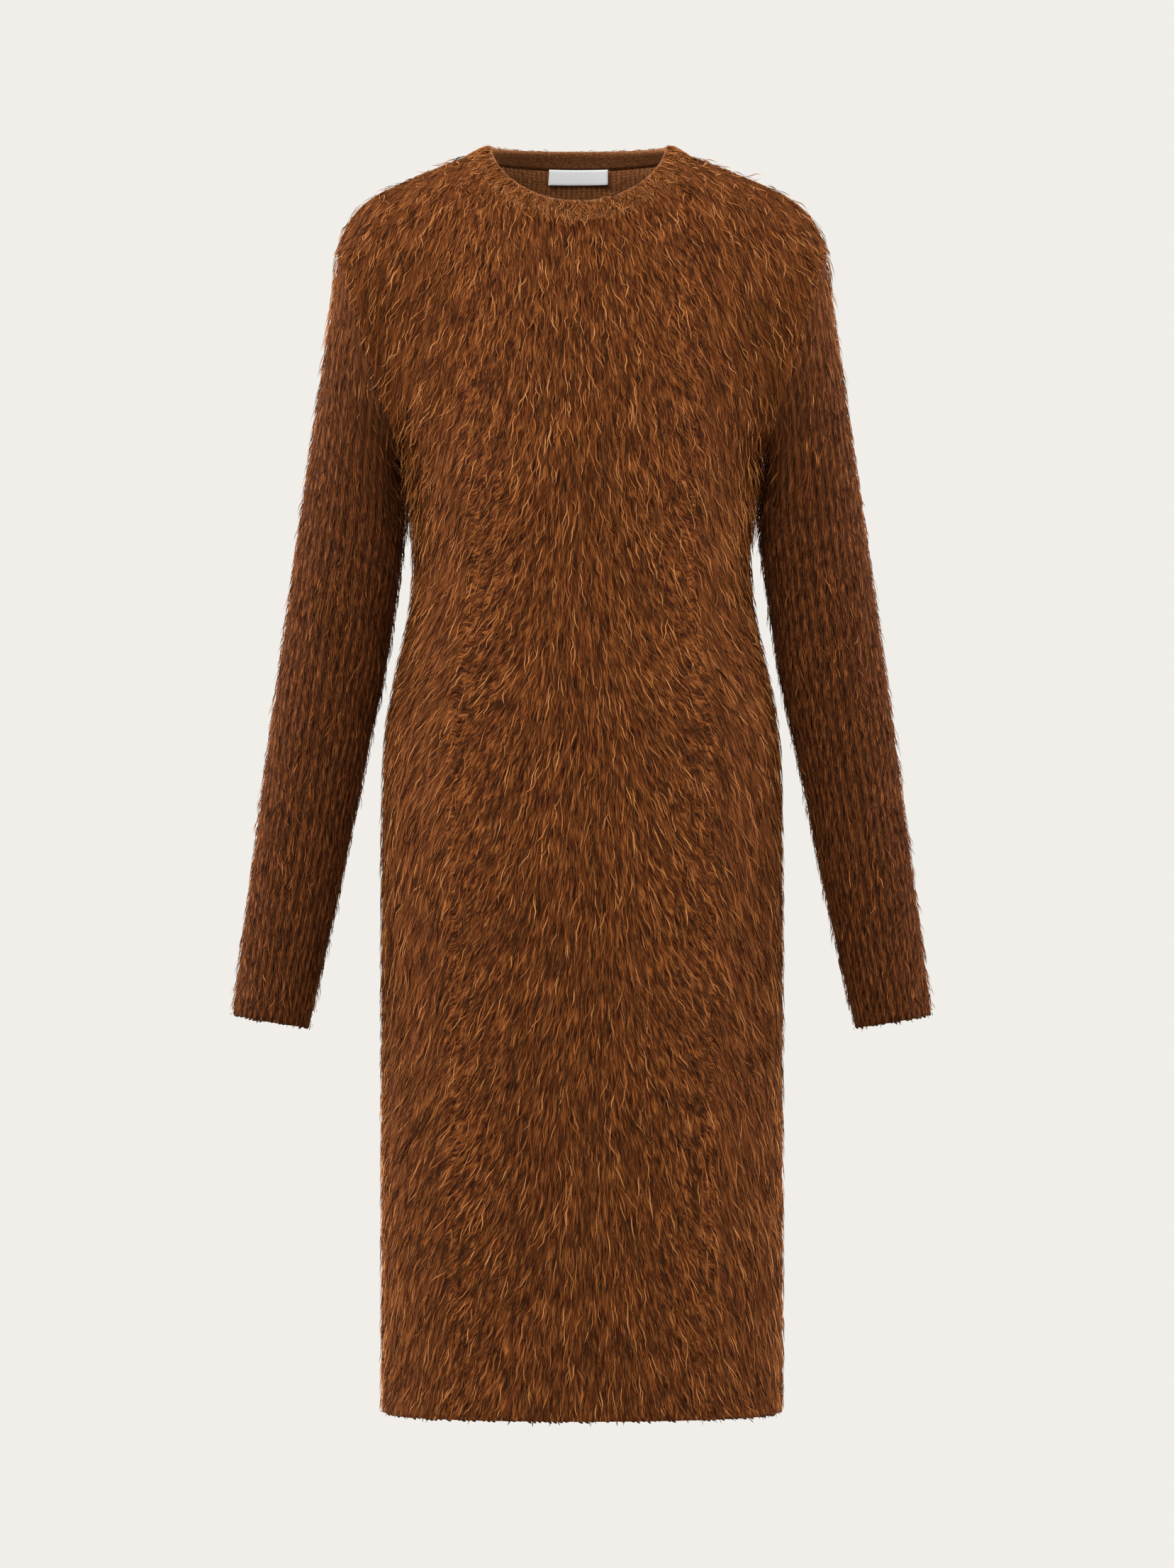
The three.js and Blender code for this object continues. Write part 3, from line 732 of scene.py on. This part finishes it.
def body_hair(name, cloth, count, zones, seed, material):
    draw = np.random.default_rng(seed)
    places = cloth.scattered(count, draw)
    at_seam = places[0] < 1.3
    places = places[0] - 0.25 * at_seam, places[1]
    point, facing, _, _, across, _ = cloth.at(*places)
    height = point[:, 2]
    clump = patches(across, height / 3, 5, seed + 3)
    length = draw.uniform(15, 31, count) * (1 - 0.6 * np.clip(facing[:, 2], 0, 1)) + 3 * clump
    length = np.minimum(length, np.maximum(height + 1043 + draw.uniform(-2, 3, count), 5))
    to_edge = 4.7 * np.minimum(places[1], cloth.points.shape[1] - 1 - places[1])
    length = np.where(height > -235, np.minimum(length, 6 + 1.4 * to_edge), length)
    width = draw.uniform(0.65, 1.3, count)
    loose = draw.random(count) < 0.16
    root = -knit_depth(cloth, *places, BODY_KNIT_DEPTH, at_sides=14)
    underarm = underarm_share(point[:, 0], height)
    tip = root + np.where(loose, draw.uniform(3, 7, count), draw.uniform(1.1, 3.6, count))
    tip = np.minimum(tip, draw.uniform(0.2, 2, count)) + underarm * draw.uniform(0, 9, count)
    bow = draw.uniform(0.4, 1.8, count) * np.interp(root, (-BODY_KNIT_DEPTH, -SEAM_DEPTH), (1, 0.3))
    rise = {"root": root - 0.3, "tip": tip, "bow": bow}
    wave = {
        "size": draw.uniform(0.7, 2.3, count) * np.interp(height, (-480, -260), (0.6, 1)),
        "pitch": draw.uniform(12, 22, count),
        "phase": math.pi * 2 * patches(across, height, 14, seed + 7) + draw.uniform(-1, 1, count),
    }
    own = draw.normal(0, 10, count)
    curl = np.clip((24 * eased(height, -70, 10) + 34 * at_seam) * draw.normal(0, 1, count), -62, 62)
    curl = curl * eased(to_edge, 0, 50)

    def comb(point, across, down):
        drift = 7 * patches(across, point[:, 2], 27, seed + 1)
        return comb_body(across, point[:, 2], seed) + drift + own + curl

    tone = 0.375 + 0.12 * clump + 0.06 * patches(across, height / 2, 13, seed + 5)
    tone += draw.normal(0, 0.33, count) + 0.08 * loose
    # Painted light: paler over the tops of the shoulders and darker from the chest down towards the skirt,
    # as light falls from above.
    tone += 0.16 * eased(height, -90, -5) - 0.08 * eased(-height, 250, 700)
    # Painted highlight: hair facing out to the sides is made paler, standing in for the bright rim of light
    # along the sides.
    tone = np.clip(tone + 0.22 * facing[:, 0] ** 6, 0, 1)
    width = np.where(loose, 0.7 * width, width)
    corners = grown(cloth, places, comb, 5, length, width, rise, wave)
    edges = np.linspace(0, count, len(zones) + 1).astype(int)
    parts = zip(zones, edges, edges[1:])
    return [hair(f"{name}_{zone}", corners[a:b], 5, tone[a:b], material) for zone, a, b in parts]


def sleeve_hair(name, cloth, count, side, seed, material):
    draw = np.random.default_rng(seed)
    places = cloth.scattered(count, draw)
    point, facing, _, _, across, down = cloth.at(*places)
    height = point[:, 2]
    near_shoulder = eased(height, -200, -90)
    length = draw.uniform(9, 20, count) * (1 + 0.5 * near_shoulder)
    length = np.minimum(length, np.maximum(height + 706, 4))
    width = draw.uniform(0.6, 1.2, count)
    loose = draw.random(count) < 0.12
    root = -knit_depth(cloth, *places, SLEEVE_KNIT_DEPTH)
    underarm = underarm_share(point[:, 0], height)
    tip = root + np.where(loose, draw.uniform(2, 5.2, count), draw.uniform(0.8, 2.6, count))
    tip += underarm * draw.uniform(0, 7, count)
    rise = {"root": root - 0.3, "tip": tip, "bow": draw.uniform(0.2, 1.2, count)}
    wave = {
        "size": draw.uniform(0.4, 1.3, count),
        "pitch": draw.uniform(10, 19, count),
        "phase": math.pi * 2 * patches(across, height, 12, seed + 7) + draw.uniform(-1, 1, count),
    }
    own = draw.normal(0, 12, count)

    def comb(point, across, down):
        return 16 * patches(across, down, 46, seed) + 12 * patches(across, down, 20, seed + 1) + own

    corners = grown(cloth, places, comb, 4, length, width, rise, wave, down_rows=True)
    # Painted shade: how far a lock faces the body, used to darken it where the body's shade falls.
    painted_shade_toward_body = np.clip(-side * facing[:, 0], 0, 1)
    tone = 0.34 + 0.07 * patches(across, height / 3, 6, seed + 3) + draw.normal(0, 0.2, count)
    # Painted light: darker where the sleeve faces the body, and paler where the locks face straight out to
    # either side.
    tone += 0.14 * near_shoulder - 0.14 * painted_shade_toward_body + 0.2 * facing[:, 0] ** 8 + 0.1 * loose
    tone = np.clip(tone, 0, 1)
    return hair(name, corners, 4, tone, material)


def band_hair(name, cloth, count, seed, material):
    """Short fuzz over the outside of the neckband and its fold."""
    draw = np.random.default_rng(seed)
    rows, columns = cloth.points.shape[:2]
    places = draw.random(count) * rows * 0.44, draw.random(count) * columns
    point, _, _, _, across, down = cloth.at(*places)
    length, width = draw.uniform(6, 14, count), draw.uniform(0.5, 1.0, count)
    length = np.minimum(length, down + draw.uniform(2, 5, count))
    rise = {
        "root": np.full(count, -0.4),
        "tip": draw.uniform(0.2, 1.9, count),
        "bow": draw.uniform(0.3, 1, count),
    }
    wave = {
        "size": draw.uniform(0.4, 1.2, count),
        "pitch": draw.uniform(7, 13, count),
        "phase": draw.uniform(0, 6, count),
    }
    towards_seam = 180 + 26 * patches(across, down, 9, seed) + draw.normal(0, 26, count)

    def comb(point, across, down):
        return towards_seam

    corners = grown(cloth, places, comb, 4, length, width, rise, wave, down_rows=True)
    return hair(name, corners, 4, np.clip(draw.normal(0.54, 0.24, count), 0, 1), material)


def beads(name, centres, headings, facings, size, material):
    """Small knit loops or stitches in a row, joined into one piece: size is length, width and height."""
    shape = bmesh.new()
    bmesh.ops.create_icosphere(shape, subdivisions=1, radius=0.5)
    bmesh.ops.recalc_face_normals(shape, faces=shape.faces)
    shape.verts.index_update()
    ball = np.array([v.co for v in shape.verts])
    triangles = np.array([[v.index for v in f.verts] for f in shape.faces])
    shape.free()
    sides = unit(np.cross(facings, headings))
    axes = np.stack((headings * size[0], sides * size[1], facings * size[2]), 1)
    corners = centres[:, None] + ball @ axes
    faces = (triangles[None] + len(ball) * np.arange(len(centres))[:, None, None]).reshape(-1, 3)
    mesh = bpy.data.meshes.new(name)
    mesh.from_pydata((corners.reshape(-1, 3) * MM).tolist(), [], faces.tolist())
    return link(name, mesh, [material])


def cast_off(name, cloth, pitch, inset, seed, material):
    """The bound edge along a cloth's last row: one slanting loop after another."""
    draw = np.random.default_rng(seed)
    edge, facing = cloth.points[-1], cloth.layers[-1, :, 3:6]
    if cloth.closed:
        edge, facing = np.concatenate((edge, edge[:1])), np.concatenate((facing, facing[:1]))
    walked = np.concatenate(([0], np.cumsum(np.linalg.norm(np.diff(edge, axis=0), axis=1))))
    even = np.arange(pitch / 2, walked[-1], pitch)
    wanted = even + draw.uniform(-0.4, 0.4, len(even))
    centre = np.stack([np.interp(wanted, walked, edge[:, k]) for k in range(3)], 1)
    out = unit(np.stack([np.interp(wanted, walked, facing[:, k]) for k in range(3)], 1))
    along = unit(np.gradient(centre, axis=0))
    slant = np.radians(draw.normal(24, 7, len(wanted)))[:, None]
    up = unit(np.cross(out, along)) * -cloth.turn
    centre = centre - out * inset + (0, 0, 1) * draw.uniform(-0.5, 1.6, len(wanted))[:, None]
    heading = along * np.cos(slant) + up * np.sin(slant)
    return beads(name, centre, heading, out, (pitch * 1.25, 2.1, 2.4), material)


# Finishes
def hair_finish(name, stops):
    finish = Finish(
        name,
        Specular_IOR_Level=0.06,
        Sheen_Weight=0.3,
        Sheen_Roughness=0.3,
        Sheen_Tint=(*shade_of(226, 160, 96), 1),
    )
    tone, along = finish.number("tone"), finish.number("along")
    fine = finish.noise_at(finish.node("ShaderNodeTexCoord", output="Object"), 620.0, 2.0, 0.6)
    # Painted shade: each lock is darker at its root and paler towards its tip, standing in for the shade
    # deep in the fur.
    lit = tone + 0.3 * along.power(1.4) - 0.12 + 0.34 * (fine - 0.5)
    finish.shade("Base Color", finish.ramp(lit.limited(), stops))
    finish.shade("Roughness", 0.72 - 0.2 * tone)
    return finish.material


def brushed_value(finish, uv_map, seed):
    across, down = finish.laid_out(uv_map)
    wander = 4.2 * (finish.noise(across / 9, down / 17, seed, 1.0) - 0.5)
    fine = finish.noise((across + wander) / 0.85, down / 17, seed + 3.0, 2.0, 0.65)
    lock = finish.noise((across + wander * 1.5) / 3.0, down / 24, seed + 7.0, 1.0)
    return 0.68 * fine + 0.32 * lock


def body_finish():
    finish = Finish(
        "long_haired_knit",
        Roughness=0.8,
        Specular_IOR_Level=0.08,
        Sheen_Weight=0.15,
        Sheen_Tint=(*shade_of(214, 140, 80), 1),
    )
    first = finish.number("first_layout")
    a, b = brushed_value(finish, "brushed_a", 1.0), brushed_value(finish, "brushed_b", 21.0)
    second = 1 - first
    spread = (first * first + second * second).power(0.5)
    value = (a * first + b * second - 0.5) / spread + 0.5
    stops = (
        (0.34, shade_of(26, 6, 0)),
        (0.44, shade_of(62, 25, 6)),
        (0.53, shade_of(106, 55, 20)),
        (0.64, shade_of(158, 96, 48)),
    )
    finish.shade("Base Color", finish.ramp(value, stops))
    finish.bump(value, 0.9, 0.0022)
    return finish.material


def sleeve_finish():
    finish = Finish(
        "short_haired_rib",
        Roughness=0.85,
        Specular_IOR_Level=0.08,
        Sheen_Weight=0.12,
        Sheen_Tint=(*shade_of(200, 130, 75), 1),
    )
    across, down = finish.laid_out("plain")
    wander = 1.6 * (finish.noise(across / 6, down / 11, 3.0, 1.0) - 0.5)
    fine = finish.noise((across + wander) / 0.8, down / 9, 5.0, 2.0, 0.6)
    value = fine + 0.06 * finish.number("rib").cosine() + 0.04 * finish.number("near_shoulder")
    stops = (
        (0.34, shade_of(24, 7, 0)),
        (0.46, shade_of(56, 24, 7)),
        (0.56, shade_of(88, 45, 17)),
        (0.68, shade_of(132, 77, 37)),
    )
    finish.shade("Base Color", finish.ramp(value, stops))
    finish.bump(value, 0.8, 0.0015)
    return finish.material


def inside_finish():
    finish = Finish(
        "knit_inside",
        Roughness=0.9,
        Specular_IOR_Level=0.2,
        Sheen_Weight=0.05,
        Sheen_Tint=(*shade_of(200, 130, 75), 1),
    )
    across, down = finish.laid_out("plain")
    rib = (across * (2 * math.pi / 4.5)).cosine()
    loop = (down * (2 * math.pi / 2.6) + rib * 0.8).cosine()
    fuzz = finish.noise(across / 1.1, down / 1.8, 2.0, 2.0, 0.6)
    cloudy = finish.noise(across / 3.2, down / 5, 12.0, 2.0, 0.6)
    value = 0.5 + 0.06 * rib + 0.05 * loop + 0.55 * (fuzz - 0.5) + 0.45 * (cloudy - 0.5)
    stops = (
        (0.25, shade_of(54, 26, 10)),
        (0.5, shade_of(112, 66, 34)),
        (0.8, shade_of(170, 113, 68)),
    )
    finish.shade("Base Color", finish.ramp(value, stops))
    finish.bump(value, 0.8, 0.0012)
    return finish.material


def band_finish():
    finish = Finish(
        "neck_rib",
        Roughness=0.85,
        Specular_IOR_Level=0.2,
        Sheen_Weight=0.3,
        Sheen_Tint=(*shade_of(214, 160, 108), 1),
    )
    across, down = finish.laid_out("plain")
    rib = finish.number("rib").cosine()
    loop = (down * (2 * math.pi / 1.7) + rib * 1.2).cosine()
    fuzz = finish.noise(across / 0.8, down / 1.2, 4.0, 2.0, 0.6)
    cloudy = finish.noise(across / 2.4, down / 2.6, 9.0, 2.0, 0.6)
    value = 0.46 + 0.15 * rib + 0.1 * loop + 0.6 * (fuzz - 0.5) + 0.75 * (cloudy - 0.5)
    stops = (
        (0.12, shade_of(54, 24, 8)),
        (0.4, shade_of(112, 64, 32)),
        (0.62, shade_of(152, 96, 54)),
        (0.88, shade_of(196, 142, 94)),
    )
    finish.shade("Base Color", finish.ramp(value, stops))
    finish.bump(value, 0.7, 0.0006)
    return finish.material


def tape_finish():
    finish = Finish("woven_tape", Sheen_Weight=0.1, Roughness=0.6)
    across, down = finish.laid_out("plain")
    weft, warp = (down * (2 * math.pi / 0.42)).sine(), (across * (2 * math.pi / 0.5)).sine()
    value = 0.5 + 0.3 * weft * warp + 0.3 * (finish.noise(across / 3, down / 0.4, 1.0, 1.0) - 0.5)
    stops = ((0.1, shade_of(228, 231, 234)), (0.9, shade_of(248, 250, 252)))
    finish.shade("Base Color", finish.ramp(value, stops))
    finish.bump(value, 0.3, 0.0001)
    return finish.material


def plain_finish(name, colour, roughness=0.85):
    colour = (*shade_of(*colour), 1)
    return Finish(name, Base_Color=colour, Roughness=roughness, Specular_IOR_Level=0.1).material


# The dress
set_camera()
set_studio()

long_hair = hair_finish(
    "long_hair",
    (
        (0.04, shade_of(30, 8, 0)),
        (0.28, shade_of(72, 32, 8)),
        (0.52, shade_of(126, 70, 29)),
        (0.78, shade_of(174, 108, 57)),
        (1.0, shade_of(202, 138, 82)),
    ),
)
short_hair = hair_finish(
    "short_hair",
    (
        (0.05, shade_of(26, 8, 0)),
        (0.32, shade_of(64, 28, 8)),
        (0.55, shade_of(106, 56, 23)),
        (0.8, shade_of(156, 94, 48)),
        (1.0, shade_of(192, 130, 78)),
    ),
)
knit, sleeve_knit, inside = body_finish(), sleeve_finish(), inside_finish()
edge_yarn = plain_finish("edge_yarn", (50, 27, 14))
sewing_thread = plain_finish("sewing_thread", (44, 25, 15), 0.6)


def make_panel(name, side, folds, seed, locks):
    cloth = body_cloth(side, folds)
    across, down = cloth.layers[..., 12], cloth.layers[..., 13]
    lean = comb_body(across, cloth.points[..., 2], seed, drift=4)
    maps, first = streak_maps(cloth, lean)
    maps["plain"] = np.stack((across, down), -1)
    facing = cloth.layers[..., 3:6]
    row, column = np.mgrid[: across.shape[0], : across.shape[1]]
    depth = knit_depth(cloth, row, column, BODY_KNIT_DEPTH, at_sides=14)
    depth += 0.5 * patches(across, down / 2.5, 7, seed + 11) * (depth > 1)
    ground = cloth.points - facing * depth[..., None]
    piece = woven(name, ground, facing, maps, [knit, inside], 1.8, numbers={"first_layout": first})
    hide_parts(name.replace("_cloth", ""))
    zones = ("yoke", "waist", "hips", "hem")
    added = body_hair(name.replace("cloth", "hair"), cloth, locks, zones, seed, long_hair)
    added.append(cast_off(name.replace("cloth", "hem_edge"), cloth, 4.4, 4.8, seed, edge_yarn))


def make_sleeve(name, side, folds, seed, locks):
    cloth = sleeve_cloth(side, folds)
    rows, columns = cloth.points.shape[:2]
    across, down = cloth.layout()
    facing = cloth.layers[..., 3:6]
    rib = np.tile(np.arange(columns) * math.pi, (rows, 1))
    row, column = np.mgrid[:rows, :columns]
    depth = knit_depth(cloth, row, column, SLEEVE_KNIT_DEPTH) - 0.5 * np.cos(rib) * np.clip(row / 10, 0, 1)
    ground = cloth.points - facing * depth[..., None]
    maps = {"plain": np.stack((across, down), -1)}
    numbers = {"rib": rib, "near_shoulder": eased(cloth.points[..., 2], -200, -90)}
    piece = woven(name, ground, facing, maps, [sleeve_knit, inside], 1.6, closed=True, numbers=numbers)
    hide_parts(name.replace("_cloth", ""))
    added = [
        sleeve_hair(name.replace("cloth", "hair"), cloth, locks, side, seed, short_hair),
        cast_off(name.replace("cloth", "cuff_edge"), cloth, 3.6, 3.4, seed, edge_yarn),
    ]


def label_stitches(band):
    """Hand stitches along the band's seam inside the back neck, over the label's top edge."""
    seam = band.points[-1]
    sewn = (np.abs(seam[:, 0] + 2) < 27) & (seam[:, 1] > 0)
    edge, inward = seam[sewn][::5], unit(band.layers[-1, :, 3:6][sewn][::5])
    along = unit(np.gradient(edge, axis=0))
    places = edge + inward * 0.3 + (0, 0, 0.8)
    return beads("label_stitches", places, along, inward, (2.6, 0.8, 0.8), sewing_thread)


def make_neckband(name, locks, material):
    cloth = Cloth(refined(neckband_form(2 * BAND_RIBS), 2), turn=-1, closed=True)
    rows, columns = cloth.points.shape[:2]
    rib = np.tile(np.arange(columns) * math.pi, (rows, 1))
    facing = cloth.layers[..., 3:6]
    ground = cloth.points - facing * (0.3 - 0.2 * np.cos(rib))[..., None]
    maps = {"plain": np.stack(cloth.layout(), -1)}
    piece = woven(name, ground, facing, maps, [material, material], 1.1, closed=True, numbers={"rib": rib})
    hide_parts("neckband")
    added = [band_hair("neckband_fuzz", cloth, locks, 611, long_hair), label_stitches(cloth)]


def make_label(name, material):
    cloth = Cloth(label_form(25, 8), turn=1)
    maps = {"plain": np.stack(cloth.layout(), -1)}
    piece = woven(name, cloth.points, cloth.layers[..., 3:6], maps, [material, material], 0.35)
    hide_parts("neck_label")


make_panel("front_cloth", -1, FRONT_FOLDS, 11, 14400)
make_panel("back_cloth", 1, BACK_FOLDS, 211, 10000)
make_sleeve("sleeve_left_cloth", 1, LEFT_SLEEVE_FOLDS, 411, 5200)
make_sleeve("sleeve_right_cloth", -1, RIGHT_SLEEVE_FOLDS, 511, 5200)
make_neckband("neckband_cloth", 3600, band_finish())
make_label("neck_label_tape", tape_finish())

set_floor()
